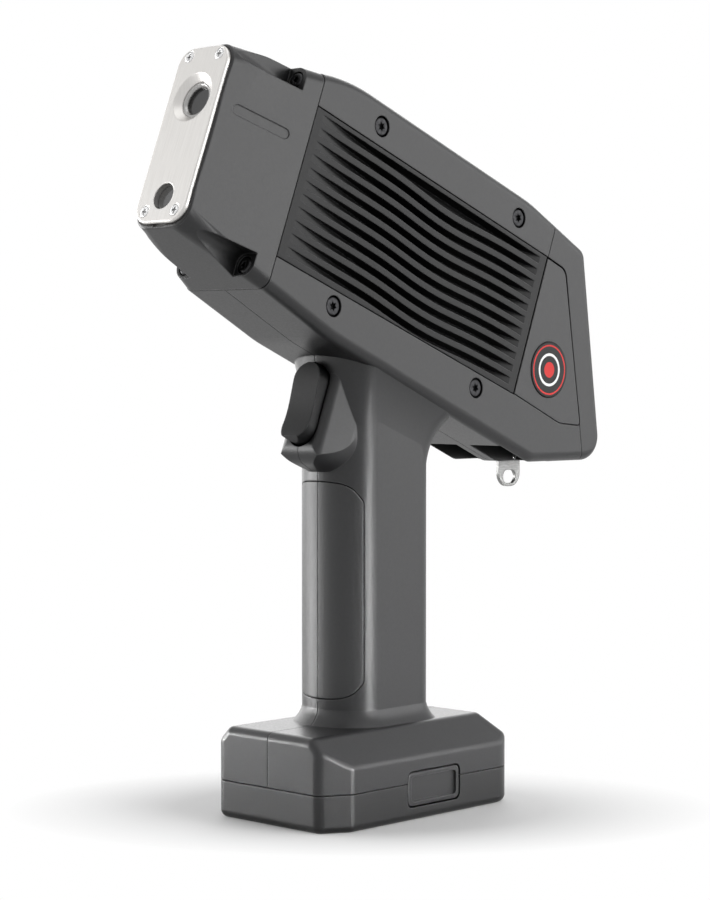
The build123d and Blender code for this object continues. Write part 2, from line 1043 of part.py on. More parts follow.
def trigger_room():
    """Pocket in the pod for the trigger, its hub and its travel."""
    with BuildPart() as room:
        with BuildSketch(across(pod_front - 6)):
            with Locations((0, (trigger_top + trigger_low) / 2)):
                SlotOverall(
                    trigger_top - trigger_low + 2 * slide_gap + 0.6,
                    2 * (trigger_half + slide_gap),
                    rotation=90,
                )
        extrude(amount=-20)
        with BuildSketch(body_frame):
            with BuildLine():
                Polyline(
                    (pin_s - 3.6, pin_t - 4),
                    (pin_s + 9, pin_t - 4),
                    (pin_s + 9, pin_t + 3.6),
                    (pin_s - 3.6, pin_t + 3.6),
                    close=True,
                )
            make_face()
        extrude(amount=trigger_half + slide_gap, both=True)
        with BuildSketch(body_frame):
            with Locations((pin_s, pin_t)):
                Circle(pin_radius + pin_gap)
        extrude(amount=trigger_half + 3.2, both=True)
    return room.part


def latch_outline(inset=0.0):
    with BuildSketch() as outline:
        with Locations(((latch_front + latch_rear) / 2, (latch_low + latch_high) / 2)):
            RectangleRounded(
                latch_rear - latch_front - 2 * inset,
                latch_high - latch_low - 2 * inset,
                latch_corner - inset / 2,
            )
    return outline.sketch


def latch_room():
    with BuildPart() as room:
        for flank in (1, -1):
            with BuildSketch(Plane.YZ.offset(flank * (base_half - 8))):
                add(latch_outline())
            extrude(amount=flank * 10)
            with BuildSketch(Plane.YZ.offset(flank * (base_half - 8))):
                with Locations(((latch_front + latch_rear) / 2, split_height - 3)):
                    Rectangle(latch_rear - latch_front, 8)
            extrude(amount=flank * 10)
    return room.part


def grip_region(inset=0.0):
    """Skin of the handle's front that the soft grips fill."""
    with BuildPart() as region:
        with BuildSketch(level(grip_low - 5)):
            add(handle_section(-2))
            add(handle_section(grip_thickness), mode=Mode.SUBTRACT)
        extrude(amount=grip_top - grip_low + 10)
        with BuildSketch(Plane.YZ):
            with BuildLine():
                FilletPolyline(
                    (handle_front - 6, grip_low + inset),
                    (handle_front + 3, grip_low + inset),
                    (grip_edge - inset, grip_low + 6 + inset),
                    (grip_edge - inset, grip_top - 7 - inset),
                    (handle_front + 3, grip_top - inset),
                    (handle_front - 6, grip_top - inset),
                    radius=(8, 3, 3, 8),
                )
                Line((handle_front - 6, grip_top - inset), (handle_front - 6, grip_low + inset))
            make_face()
        extrude(amount=2 * handle_half, both=True, mode=Mode.INTERSECT)
    return region.part


def make_grips():
    with BuildPart() as grips:
        with BuildSketch(level(grip_low - 5)):
            add(handle_section())
            add(handle_section(grip_thickness - 0.001), mode=Mode.SUBTRACT)
        extrude(amount=grip_top - grip_low + 10)
        add(grip_region(seam_gap), mode=Mode.INTERSECT)
    return grips.part


def lanyard_room():
    """Slot for the lanyard tab in the rib between the two rear pockets."""
    with BuildPart() as room:
        with Locations((0, lanyard_y, lanyard_root)):
            Box(
                lanyard_thickness + 2 * seat_gap,
                lanyard_width + 2 * seat_gap,
                2 * (lanyard_root - lanyard_eye_z),
                align=(Align.CENTER, Align.CENTER, Align.MAX),
            )
        with BuildSketch(Plane.YZ.offset(-rib_half - 1)):
            with Locations((lanyard_y, lanyard_root - 3)):
                Circle(lanyard_pin_radius + screw_gap)
        extrude(amount=2 * rib_half + 2)
    return room.part


def pocket_block():
    """Solid under the display end that the rear pockets are cut from."""
    with BuildPart() as block:
        with Locations((0, pocket_front - wall, pocket_ceiling + wall)):
            Box(
                2 * body_half,
                pocket_rear - pocket_front + 2 * wall,
                20,
                align=(Align.CENTER, Align.MIN, Align.MAX),
            )
        add(body_form(), mode=Mode.INTERSECT)
    return block.part


def pockets():
    """Two finger pockets in the rear underside, either side of the rib."""
    with BuildPart() as pair:
        with Locations(
            (rib_half, pocket_front, pocket_ceiling),
            (wall - body_half, pocket_front, pocket_ceiling),
        ):
            Box(
                body_half - wall - rib_half,
                pocket_rear - pocket_front,
                20,
                align=(Align.MIN, Align.MIN, Align.MAX),
            )
    return pair.part


def split_half(part, flank):
    """The half of a part on one side of the parting line."""
    with BuildPart() as half:
        add(part)
        split(
            bisect_by=Plane.YZ.offset(flank * parting_gap / 2),
            keep=Keep.TOP if flank > 0 else Keep.BOTTOM,
        )
    return half.part


# ---- Side panels ----


def wave(s):
    """How far a fin dips at distance s along the body."""
    share = (s - wave_centre) / wave_length
    if abs(share) > 0.5:
        return 0.0
    return wave_height * 0.5 * (1 + cos(2 * pi * share))


def groove_outline(top, straight_top):
    """One groove: edges follow the wave, except the top edge of the first."""
    steps = 8
    low_edge = []
    high_edge = []
    for step in range(steps + 1):
        s = groove_start + (groove_end - groove_start) * step / steps
        low_edge.append((s, top - groove_width - wave(s)))
        high_edge.append((s, top - (0 if straight_top else wave(s))))
    with BuildSketch() as outline:
        with BuildLine():
            Spline(*low_edge)
            Line(low_edge[-1], high_edge[-1])
            if straight_top:
                Line(high_edge[-1], high_edge[0])
            else:
                Spline(*reversed(high_edge))
            Line(high_edge[0], low_edge[0])
        make_face()
    return outline.sketch


def make_heat_sink():
    """Finned panel of the left flank: wavy grooves that ramp in and run out."""
    back = body_half - panel_depth
    with BuildPart() as grooves:
        with BuildSketch(body_frame.offset(back)):
            for row in range(groove_count):
                add(groove_outline(groove_top - row * groove_pitch, row == 0))
        extrude(amount=panel_depth + 1)
        with BuildSketch(deck(panel_low - 5)):
            with BuildLine():
                Polyline(
                    (groove_start, -body_half),
                    (groove_start + groove_ramp, -body_half + groove_depth),
                    (groove_end - groove_runout, -body_half + groove_depth),
                    (groove_end, -body_half),
                    (groove_end, -body_half - 2),
                    (groove_start, -body_half - 2),
                    close=True,
                )
            make_face()
        extrude(amount=panel_top - panel_low + 10, mode=Mode.INTERSECT)
    with BuildPart() as panel:
        with BuildSketch(body_frame.offset(back)):
            add(heat_sink_outline(seam_gap))
        extrude(amount=panel_depth)
        chamfer(panel.faces().sort_by(Axis.X)[-1].edges(), 0.25)
        add(grooves.part, mode=Mode.SUBTRACT)
    return panel.part


def make_rear_panel():
    with BuildPart() as panel:
        with BuildSketch(body_frame.offset(body_half - rear_panel_depth)):
            add(rear_panel_outline(seam_gap))
        extrude(amount=rear_panel_depth)
        chamfer(panel.faces().sort_by(Axis.X)[-1].edges(), 0.2)
        with BuildSketch(body_frame.offset(body_half + badge_proud - badge_thickness)):
            with Locations((badge_s, badge_t)):
                Circle(badge_radius + seat_gap)
        extrude(amount=badge_thickness, mode=Mode.SUBTRACT)
    return panel.part


def make_badge():
    with BuildPart() as badge:
        with BuildSketch(body_frame.offset(body_half + badge_proud - badge_thickness)):
            with Locations((badge_s, badge_t)):
                Circle(badge_radius)
        extrude(amount=badge_thickness)
        chamfer(badge.faces().sort_by(Axis.X)[-1].edges(), 0.25)
    return badge.part


def make_side_screws():
    screw = button_screw(
        side_screw_head,
        side_screw_head_height,
        side_screw_shank,
        side_screw_length - side_screw_head_height,
        side_screw_head * 0.5,
    )
    with BuildPart() as group:
        seat = body_half - side_screw_head_height - 0.3
        with Locations(body_frame.offset(seat)):
            with Locations(*side_spots()):
                add(screw)
        mirror(about=Plane.YZ)
    return group.part


# ---- Display end ----

hood_crest = body_point(0, rear_high, hood_top)
hood_heel = body_point(0, *rear_low)
rear_frame = Plane(
    origin=(hood_crest + hood_heel) * 0.5,
    x_dir=(-1, 0, 0),
    z_dir=Vector(-1, 0, 0).cross(hood_crest - hood_heel),
)
face_length = (hood_crest - hood_heel).length
key_drop = face_length / 2 - key_edge
glass_low = key_height / 2 + slide_gap + key_gap - key_drop
glass_high = face_length / 2 - glass_margin
glass_height = glass_high - glass_low
glass_rise = (glass_high + glass_low) / 2
display_width = glass_width - 2 * display_side_border
display_height = glass_height - 2 * display_end_border


def key_slot(grow=0.0):
    """Outline of the power key, grown all round."""
    with BuildSketch() as slot:
        with Locations((0, -key_drop)):
            SlotOverall(key_width + 2 * grow, key_height + 2 * grow)
    return slot.sketch


def make_display_hood():
    with BuildPart() as hood:
        add(body_form())
        with BuildSketch(body_frame):
            add(hood_region(seam_gap))
        extrude(amount=2 * body_half, both=True, mode=Mode.INTERSECT)
        with BuildSketch(body_frame):
            add(body_outline(wall))
        extrude(amount=body_half - wall, both=True, mode=Mode.SUBTRACT)
        for flank in (1, -1):
            with BuildSketch(body_frame.offset(flank * body_half)):
                add(rear_panel_outline())
            extrude(amount=-flank * (rear_panel_depth + seat_gap), mode=Mode.SUBTRACT)
        with BuildSketch(rear_frame):
            with Locations((0, glass_rise)):
                RectangleRounded(
                    glass_width + 2 * seat_gap, glass_height + 2 * seat_gap, glass_corner + seat_gap
                )
        extrude(amount=-glass_thickness, mode=Mode.SUBTRACT)
        with BuildSketch(rear_frame):
            with Locations((0, glass_rise)):
                RectangleRounded(display_width - 1.6, display_height - 1.6, 1)
            add(key_slot(slide_gap))
        extrude(amount=-2 * wall, mode=Mode.SUBTRACT)
        with BuildSketch(rear_frame.offset(-wall)):
            add(key_slot(key_rim + slide_gap))
        extrude(amount=-2 * wall, mode=Mode.SUBTRACT)
    return hood.part


def make_display_glass():
    with BuildPart() as glass:
        with BuildSketch(rear_frame):
            with Locations((0, glass_rise)):
                RectangleRounded(glass_width, glass_height, glass_corner)
        extrude(amount=-glass_thickness + 0.05)
    return glass.part


def make_display_module():
    with BuildPart() as module:
        with BuildSketch(rear_frame.offset(-wall)):
            with Locations((0, glass_rise)):
                Rectangle(display_width, display_height)
        extrude(amount=-display_thickness)
        with BuildSketch(rear_frame.offset(-glass_thickness - 0.2)):
            with Locations((0, glass_rise)):
                RectangleRounded(display_width - 2, display_height - 2, 1)
        extrude(amount=-wall)
    return module.part


def display_board_depth():
    return wall + display_thickness + 0.1


def make_display_board():
    """Board behind the display with the key switch on its low end."""
    with BuildPart() as board:
        with BuildSketch(rear_frame.offset(-display_board_depth())):
            with Locations((0, (glass_rise + glass_height / 2 - key_drop - 4) / 2)):
                Rectangle(display_width, glass_rise + glass_height / 2 + key_drop + 2)
        extrude(amount=-board_thickness)
        with BuildSketch(rear_frame.offset(-display_board_depth())):
            with Locations((0, -key_drop)):
                Rectangle(6, 4)
        extrude(amount=display_board_depth() - wall - key_flange - key_travel - 0.5)
    return board.part


def make_power_key():
    with BuildPart() as key:
        with BuildSketch(rear_frame.offset(key_proud)):
            add(key_slot())
        extrude(amount=-(key_proud + wall + 0.3))
        chamfer(key.faces().sort_by(Axis((0, 0, 0), rear_frame.z_dir))[-1].edges(), 0.3)
        with BuildSketch(rear_frame.offset(-wall - seat_gap)):
            add(key_slot(key_rim))
        extrude(amount=-key_flange)
    return key.part


def make_lanyard_tab():
    low = lanyard_eye_z - lanyard_eye_height / 2 - lanyard_rim
    with BuildPart() as tab:
        with BuildSketch(Plane.YZ.offset(-lanyard_thickness / 2)):
            with BuildLine():
                FilletPolyline(
                    (lanyard_y - lanyard_width / 2, lanyard_root - seat_gap),
                    (lanyard_y - lanyard_width / 2, low),
                    (lanyard_y + lanyard_width / 2, low),
                    (lanyard_y + lanyard_width / 2, lanyard_root - seat_gap),
                    radius=(lanyard_width / 2 - 0.8, lanyard_width / 2 - 0.8),
                )
                Line(
                    (lanyard_y + lanyard_width / 2, lanyard_root - seat_gap),
                    (lanyard_y - lanyard_width / 2, lanyard_root - seat_gap),
                )
            make_face()
            with Locations((lanyard_y, lanyard_eye_z)):
                RectangleRounded(lanyard_eye_length, lanyard_eye_height, 2.3, mode=Mode.SUBTRACT)
            with Locations((lanyard_y, lanyard_root - 3)):
                Circle(lanyard_pin_radius + screw_gap, mode=Mode.SUBTRACT)
        extrude(amount=lanyard_thickness)
    return tab.part


def make_lanyard_pin():
    with BuildPart() as pin:
        with BuildSketch(Plane.YZ.offset(-rib_half)):
            with Locations((lanyard_y, lanyard_root - 3)):
                Circle(lanyard_pin_radius)
        extrude(amount=2 * rib_half)
    return pin.part


# ---- Trigger ----


def make_trigger():
    back = trigger_face + trigger_depth
    with BuildPart() as trigger:
        with BuildSketch(body_frame):
            with BuildLine():
                face = Spline(
                    (trigger_face - 0.3, trigger_top + 0.1),
                    (trigger_face, trigger_top - 9),
                    (trigger_face + 0.7, trigger_low + 9),
                    (trigger_face - trigger_lip + 0.4, trigger_low + 1.2),
                )
                Polyline(
                    face @ 1,
                    (trigger_face + 2.4, trigger_low),
                    (back, trigger_low),
                    (back, trigger_top + 0.1),
                    face @ 0,
                )
            make_face()
        extrude(amount=trigger_half, both=True)
        with BuildSketch(across(trigger_face - 4)):
            with Locations((0, (trigger_top + trigger_low) / 2)):
                SlotOverall(trigger_top - trigger_low, 2 * trigger_half, rotation=90)
        extrude(amount=-12, mode=Mode.INTERSECT)
        with BuildSketch(body_frame):
            with Locations((pin_s, pin_t)):
                Circle(hub_radius)
            with BuildLine():
                Polyline(
                    (back - 2, pin_t - 8),
                    (back - 0.5, pin_t + 0.4),
                    (pin_s, pin_t + hub_radius - 0.4),
                    (pin_s, pin_t - hub_radius),
                    close=True,
                )
            make_face()
        extrude(amount=trigger_half - 0.3, both=True)
        with BuildSketch(body_frame):
            with Locations((pin_s, pin_t)):
                Circle(pin_radius + pin_gap)
        extrude(amount=2 * trigger_half, both=True, mode=Mode.SUBTRACT)
        with BuildSketch(across(back - 0.5)):
            with Locations((0, switch_height)):
                Rectangle(4, 4)
        extrude(amount=-(switch_front - back - trigger_stroke() - 0.3 + 0.5))
    return trigger.part


def trigger_stroke():
    """How far the trigger's back moves at the height of the switch."""
    return (pin_t - switch_height) * sin(radians(trigger_pull))


def make_trigger_pin():
    with BuildPart() as pin:
        with BuildSketch(body_frame):
            with Locations((pin_s, pin_t)):
                Circle(pin_radius)
        extrude(amount=trigger_half + 3.0, both=True)
    return pin.part


def make_trigger_switch():
    """Microswitch with its plunger towards the trigger."""
    with BuildPart() as switch:
        with BuildSketch(across(switch_front + 0.8)):
            with Locations((0, switch_height)):
                Rectangle(2 * (trigger_half + slide_gap - seat_gap), 9)
        extrude(amount=-6.5)
        with BuildSketch(across(switch_front)):
            with Locations((0, switch_height)):
                Rectangle(2.6, 2.6)
        extrude(amount=-1.5)
    return switch.part


# ---- Inside the body ----


def make_chassis():
    with BuildPart() as chassis:
        with BuildSketch(body_frame):
            with Locations(((chassis_front + chassis_rear) / 2, (chassis_top + chassis_low) / 2)):
                RectangleRounded(chassis_rear - chassis_front, chassis_top - chassis_low, 5)
                RectangleRounded(
                    chassis_rear - chassis_front - 2 * chassis_bar,
                    chassis_top - chassis_low - 2 * chassis_bar,
                    3,
                    mode=Mode.SUBTRACT,
                )
            with Locations(*side_spots()):
                Circle(side_boss)
        extrude(amount=chassis_half, both=True)
        with BuildSketch(body_frame):
            with Locations(*side_spots()):
                Circle(side_screw_shank + screw_gap)
        extrude(amount=chassis_half, both=True, mode=Mode.SUBTRACT)
        with BuildSketch(deck(board_height + board_thickness)):
            with Locations(
                (board_front + 4, board_half - 3),
                (board_front + 4, 3 - board_half),
                (board_rear - 10, board_half - 3),
                (board_rear - 10, 3 - board_half),
            ):
                Circle(standoff_radius)
        extrude(amount=chassis_top - chassis_bar - board_height - board_thickness + 0.5)
        add(probe(tube_radius + seat_gap, -tube_tilt, tube_start, tube_length + 10), mode=Mode.SUBTRACT)
    return chassis.part


def make_supply():
    start = board_front + 6
    with BuildPart() as supply:
        with BuildSketch(deck(chassis_low + chassis_bar)):
            with Locations((start + supply_length / 2, 0)):
                RectangleRounded(supply_length, 2 * supply_half, 2)
        extrude(amount=supply_height)
    return supply.part


def make_main_board():
    with BuildPart() as board:
        with BuildSketch(deck(board_height)):
            with Locations(((board_front + board_rear) / 2, 0)):
                RectangleRounded(board_rear - board_front, 2 * board_half, 1.5)
        extrude(amount=board_thickness)
        with BuildSketch(deck(board_height)):
            with Locations((board_front + 20, 0)):
                Rectangle(chip_size, chip_size)
            with Locations((board_front + 42, 3)):
                Rectangle(chip_size - 4, chip_size - 6)
            with Locations((board_front + 58, -2)):
                Rectangle(chip_size - 6, chip_size - 2)
        extrude(amount=-chip_height)
    return board.part


def make_contact_block():
    with BuildPart() as block:
        with BuildSketch(level(battery_top + 2.2)):
            add(handle_section(handle_wall + seat_gap))
        extrude(amount=contact_height)
        with BuildSketch(level(battery_top + 2.2)):
            with GridLocations(7, 7, 3, 2):
                Rectangle(3, 1.2)
        extrude(amount=-1.2)
        split(bisect_by=Plane.YZ, keep=Keep.BOTH)
    return block.part


# ---- Battery ----


def battery_section(inset=0.0):
    return handle_section(handle_wall + battery_gap + inset)


def make_battery_case():
    """Neck that slides up into the handle, on a flange that closes the foot."""
    with BuildPart() as case:
        with BuildSketch(level(split_height - seam_gap - flange_thickness)):
            add(base_plan(base_wall + seat_gap))
        extrude(amount=flange_thickness)
        # room for the pressed latches
        for flank in (1, -1):
            inner_end = base_half - latch_thickness - latch_travel - slide_gap
            with BuildSketch(Plane.YZ.offset(flank * inner_end)):
                add(latch_outline())
            extrude(amount=flank * base_half, mode=Mode.SUBTRACT)
        with BuildSketch(level(split_height - seam_gap)):
            add(battery_section())
        extrude(amount=battery_top - split_height + seam_gap)
        top_edges = case.faces().sort_by(Axis.Z)[-1].edges()
        chamfer(top_edges, 0.8)
        with BuildSketch(level(split_height - seam_gap - flange_thickness)):
            add(battery_section(battery_wall))
        bay = battery_top - split_height + seam_gap + flange_thickness - battery_wall
        extrude(amount=bay, mode=Mode.SUBTRACT)
    return case.part


def make_battery_cells():
    with BuildPart() as cells:
        for flank in (1, -1):
            with BuildSketch(level(split_height - 8)):
                with Locations(((cell_front + cell_rear) / 2, flank * (cell_width / 2 + 0.15))):
                    RectangleRounded(cell_rear - cell_front, cell_width, 2)
            extrude(amount=cell_height)
    return cells.part


def make_battery_terminals():
    with BuildPart() as terminals:
        with BuildSketch(level(battery_top)):
            with GridLocations(7, 7, 3, 2):
                Rectangle(4, 3)
        extrude(amount=0.8)
    return terminals.part


def make_battery_foot():
    with BuildPart() as foot:
        with BuildSketch(level(0)):
            add(base_plan())
        extrude(amount=split_height - seam_gap)
        fillet(foot.faces().sort_by(Axis.Z)[0].edges(), foot_round)
        with BuildSketch(level(base_wall)):
            add(base_plan(base_wall))
        extrude(amount=split_height, mode=Mode.SUBTRACT)
        # ledge and posts for the flange
        with BuildSketch(level(base_wall)):
            with Locations(*foot_posts()):
                Circle(foot_post_radius)
        extrude(amount=split_height - seam_gap - flange_thickness - base_wall)
        with BuildSketch(level(-1)):
            with Locations(*foot_posts()):
                Circle(foot_screw_shank + screw_gap)
        extrude(amount=split_height, mode=Mode.SUBTRACT)
        with BuildSketch(level(-1)):
            with Locations(*foot_posts()):
                Circle(foot_screw_head + seat_gap)
        extrude(amount=3.2, mode=Mode.SUBTRACT)
        # cradle under the cells
        with BuildSketch(level(base_wall)):
            Rectangle(24, 18)
        extrude(amount=split_height - 8 - base_wall)
        add(latch_room(), mode=Mode.SUBTRACT)
    return foot.part


def foot_posts():
    """Depth and across places of the four screws through the foot."""
    reach = base_half - foot_post_side
    front = base_front + foot_post_front
    rear = base_rear - foot_post_rear
    return [
        (front, reach - 2),
        (front, 2 - reach),
        (rear, reach),
        (rear, -reach),
    ]


def make_foot_screws():
    with BuildPart() as screws:
        with BuildSketch(level(0.6)):
            with Locations(*foot_posts()):
                Circle(foot_screw_head)
        extrude(amount=1.6)
        with BuildSketch(level(0.6)):
            with Locations(*foot_posts()):
                Circle(foot_screw_shank)
        extrude(amount=8.5)
        with BuildSketch(level(0.6)):
            with Locations(*foot_posts()):
                Rectangle(foot_screw_head, foot_screw_shank / 2)
                Rectangle(foot_screw_shank / 2, foot_screw_head)
        extrude(amount=0.8, mode=Mode.SUBTRACT)
    return screws.part


def make_latch():
    """Left release button: framed cap with a stem inwards."""
    face = base_half - 0.1
    with BuildPart() as latch:
        with BuildSketch(Plane.YZ.offset(face - latch_thickness)):
            add(latch_outline(slide_gap))
        extrude(amount=latch_thickness)
        chamfer(latch.faces().sort_by(Axis.X)[-1].edges(), 0.4)
        with BuildSketch(Plane.YZ.offset(face - latch_recess)):
            add(latch_outline(slide_gap + latch_rim))
        extrude(amount=latch_recess + 1, mode=Mode.SUBTRACT)
        with BuildSketch(Plane.YZ.offset(face - latch_thickness)):
            with Locations(((latch_front + latch_rear) / 2, latch_low + 3.2)):
                Rectangle(12, 2.4)
        extrude(amount=-latch_stem)
    return latch.part


shell_pair = make_shell_pair()
save("left_housing", split_half(shell_pair, 1))
save("right_housing", split_half(shell_pair, -1))
save("nose_housing", make_nose_housing())
save("nose_plate", make_nose_plate())
save("nose_plate_screws", make_plate_screws())
save("nose_housing_screws", make_corner_screws())
save("window_ring", make_window_ring())
save("window_film", make_window_film())
save("camera_lens", make_camera_lens())
save("camera_module", make_camera_module())
save("snout_block", make_snout_block())
save("xray_tube", make_xray_tube())
save("detector", make_detector())
grips = make_grips()
save("left_grip", split_half(grips, 1))
save("right_grip", split_half(grips, -1))
heat_sink = make_heat_sink()
save("left_heat_sink", heat_sink)
save("right_heat_sink", mirror(heat_sink, about=Plane.YZ))
rear_panel = make_rear_panel()
save("left_rear_panel", rear_panel)
save("right_rear_panel", mirror(rear_panel, about=Plane.YZ))
badge = make_badge()
save("left_badge", badge)
save("right_badge", mirror(badge, about=Plane.YZ))
save("side_screws", make_side_screws())
save("display_hood", make_display_hood())
save("display_glass", make_display_glass())
save("display_module", make_display_module())
save("display_board", make_display_board())
save("power_key", make_power_key())
save("lanyard_tab", make_lanyard_tab())
save("lanyard_pin", make_lanyard_pin())
save("trigger", make_trigger())
save("trigger_pin", make_trigger_pin())
save("trigger_switch", make_trigger_switch())
save("chassis", make_chassis())
save("high_voltage_supply", make_supply())
save("main_board", make_main_board())
save("contact_block", make_contact_block())
save("battery_case", make_battery_case())
save("battery_cells", make_battery_cells())
save("battery_terminals", make_battery_terminals())
save("battery_foot", make_battery_foot())
save("foot_screws", make_foot_screws())
latch = make_latch()
save("left_latch", latch)
save("right_latch", mirror(latch, about=Plane.YZ))
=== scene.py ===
"""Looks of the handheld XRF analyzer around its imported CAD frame."""

import json
import math

import bpy
from mathutils import Matrix, Vector

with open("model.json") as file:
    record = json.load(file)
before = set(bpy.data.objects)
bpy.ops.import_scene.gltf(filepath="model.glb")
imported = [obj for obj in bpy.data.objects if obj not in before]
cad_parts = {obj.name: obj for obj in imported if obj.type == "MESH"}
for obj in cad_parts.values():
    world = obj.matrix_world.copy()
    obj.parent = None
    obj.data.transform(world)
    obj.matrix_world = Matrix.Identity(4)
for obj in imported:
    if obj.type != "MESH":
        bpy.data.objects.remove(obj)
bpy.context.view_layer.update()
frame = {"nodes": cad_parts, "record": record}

# ---- Sizes shared with the CAD, in metres ----
TILT = math.radians(21.0)
PLATE_CENTRE = Vector((0.0, -0.0855, 0.2324))
BACK = Vector((0.0, math.cos(TILT), -math.sin(TILT)))
UP = Vector((0.0, math.sin(TILT), math.cos(TILT)))
BADGE_CENTRE = (0.1808, -0.0133)
BADGE_RADIUS = 0.0103
BADGE_FACE = 0.0206

# ---- Plastics: gloss, softened edges, painted shade in corners, and paler edges that are partly rubbed wear and partly painted highlight ----
PLASTIC_GLOSS = 0.4
EDGE_RADIUS = 0.0006
EDGE_SAMPLES = 4
# Paler edges: partly rubbed wear, partly a painted highlight along hard edges.
EDGE_WEAR_AND_HIGHLIGHT = 0.4
# Painted shade: how far the occlusion node looks, its samples, and how dark grooves and corners
# are painted.
PAINTED_SHADE_REACH = 0.02
PAINTED_SHADE_SAMPLES = 4
PAINTED_SHADE_DEPTH = 0.08

# ---- Camera, fitted to the photograph ----
AZIMUTH = math.radians(43.833)
PITCH = math.radians(2.102)
CAMERA_DISTANCE = 0.836276
CAMERA_SHIFT = -0.002758
CAMERA_HEIGHT = 0.15771
FOCAL_PIXELS = 2369.48
IMAGE_HEIGHT = 900.0
SENSOR = 36.0

# ---- Floor: an oval of shadow round the foot, plain white past it ----
FLOOR_SIZE = 60.0
FLOOR_LIFT = 0.08
FLOOR_REACH = (0.12, 0.08)
FLOOR_FADE = (0.55, 1.05)
AMBIENT = 0.12


def body_point(x, s, t):
    """World place of body coordinates: across, back from the nose plate, up across the body."""
    return PLATE_CENTRE + Vector((x, 0.0, 0.0)) + BACK * s + UP * t


# ---- Material helpers ----


class Graph:
    """A Principled material built node by node."""

    def __init__(self, name):
        self.material = bpy.data.materials.new(name)
        self.material.use_nodes = True
        self.tree = self.material.node_tree
        self.shader = self.tree.nodes["Principled BSDF"]
        self.coords = self.add("ShaderNodeTexCoord").outputs["Object"]
        self.soft = None

    def add(self, kind, **settings):
        node = self.tree.nodes.new(kind)
        for key, value in settings.items():
            setattr(node, key, value)
        return node

    def link(self, source, target):
        self.tree.links.new(source, target)

    def stretched(self, scale):
        mapping = self.add("ShaderNodeMapping")
        mapping.inputs["Scale"].default_value = scale
        self.link(self.coords, mapping.inputs["Vector"])
        return mapping.outputs["Vector"]

    def noise(self, scale, detail=3.0, roughness=0.5, vector=None):
        node = self.add("ShaderNodeTexNoise")
        node.inputs["Scale"].default_value = scale
        node.inputs["Detail"].default_value = detail
        node.inputs["Roughness"].default_value = roughness
        self.link(vector or self.coords, node.inputs["Vector"])
        return node.outputs["Fac"]

    def spread(self, factor, low, high, start=0.3, end=0.7):
        node = self.add("ShaderNodeMapRange")
        node.inputs["From Min"].default_value = start
        node.inputs["From Max"].default_value = end
        node.inputs["To Min"].default_value = low
        node.inputs["To Max"].default_value = high
        self.link(factor, node.inputs["Value"])
        return node.outputs["Result"]

    def mix(self, factor, first, second):
        node = self.add("ShaderNodeMix", data_type="RGBA")
        for socket, value in ((node.inputs[6], first), (node.inputs[7], second)):
            if isinstance(value, tuple):
                socket.default_value = (*value, 1.0)
            else:
                self.link(value, socket)
        self.link(factor, node.inputs[0])
        return node.outputs[2]

    def rounded(self):
        """Normal with every hard edge softened."""
        if self.soft is None:
            bevel = self.add("ShaderNodeBevel", samples=EDGE_SAMPLES)
            bevel.inputs["Radius"].default_value = EDGE_RADIUS
            self.soft = bevel.outputs["Normal"]
        return self.soft

    def edges(self):
        """One along hard edges, nought on open faces."""
        node = self.add("ShaderNodeVectorMath", operation="DOT_PRODUCT")
        self.link(self.rounded(), node.inputs[0])
        self.link(self.add("ShaderNodeNewGeometry").outputs["Normal"], node.inputs[1])
        return self.spread(node.outputs["Value"], 1.0, 0.0, 0.9, 0.995)

    def bump(self, height, distance, strength=1.0):
        node = self.add("ShaderNodeBump")
        node.inputs["Distance"].default_value = distance
        node.inputs["Strength"].default_value = strength
        self.link(height, node.inputs["Height"])
        self.link(self.rounded(), node.inputs["Normal"])
        self.link(node.outputs["Normal"], self.shader.inputs["Normal"])

    def colour(self, source):
        self.link(source, self.shader.inputs["Base Color"])

    def rough(self, source):
        self.link(source, self.shader.inputs["Roughness"])

    def set(self, **values):
        for key, value in values.items():
            self.shader.inputs[key.replace("_", " ")].default_value = value

    def with_painted_shade(self, base, painted_shade_colour):
        """Base colour with painted shade: it sinks towards a darker colour in grooves and
        corners, where shade falls.
        """
        node = self.add("ShaderNodeAmbientOcclusion", samples=PAINTED_SHADE_SAMPLES)
        node.inputs["Distance"].default_value = PAINTED_SHADE_REACH
        return self.mix(self.spread(node.outputs["AO"], 0.0, 1.0, 0.4, 0.95), painted_shade_colour, base)

    def worn_and_highlit(self, base, wear_and_highlight, amount):
        """Base colour with paler edges: partly rubbed wear, partly a painted highlight along
        hard edges.
        """
        # Paler along hard edges: partly rubbed wear, partly painted highlight.
        rub_and_highlight = self.add("ShaderNodeMath", operation="MULTIPLY")
        self.link(self.edges(), rub_and_highlight.inputs[0])
        self.link(self.spread(self.noise(260.0), 0.3 * amount, amount), rub_and_highlight.inputs[1])
        return self.mix(rub_and_highlight.outputs[0], base, wear_and_highlight)


def moulded(
    name,
    dark,
    pale,
    rough,
    grain=2600.0,
    depth=0.00003,
    wear_and_highlight=(0.16, 0.16, 0.165),
    gloss=PLASTIC_GLOSS,
):
    """Moulded plastic: spark-eroded grain, faint mottling, painted shade in grooves and
    corners, and paler edges that are partly rubbed wear and partly painted highlight.
    """
    g = Graph(name)
    mottle = g.spread(g.noise(900.0, 4.0), 0.0, 1.0)
    # Painted shade: a darker copy of the plastic's own colour, for grooves and corners.
    painted_shade_colour = tuple(PAINTED_SHADE_DEPTH * channel for channel in dark)
    g.colour(g.worn_and_highlit(g.with_painted_shade(g.mix(mottle, dark, pale), painted_shade_colour), wear_and_highlight, EDGE_WEAR_AND_HIGHLIGHT))
    g.rough(g.spread(g.noise(1400.0, 2.0), rough - 0.03, rough + 0.04))
    g.bump(g.noise(grain, 2.0, 0.6), depth, 0.55)
    g.set(Specular_IOR_Level=gloss)
    return g.material


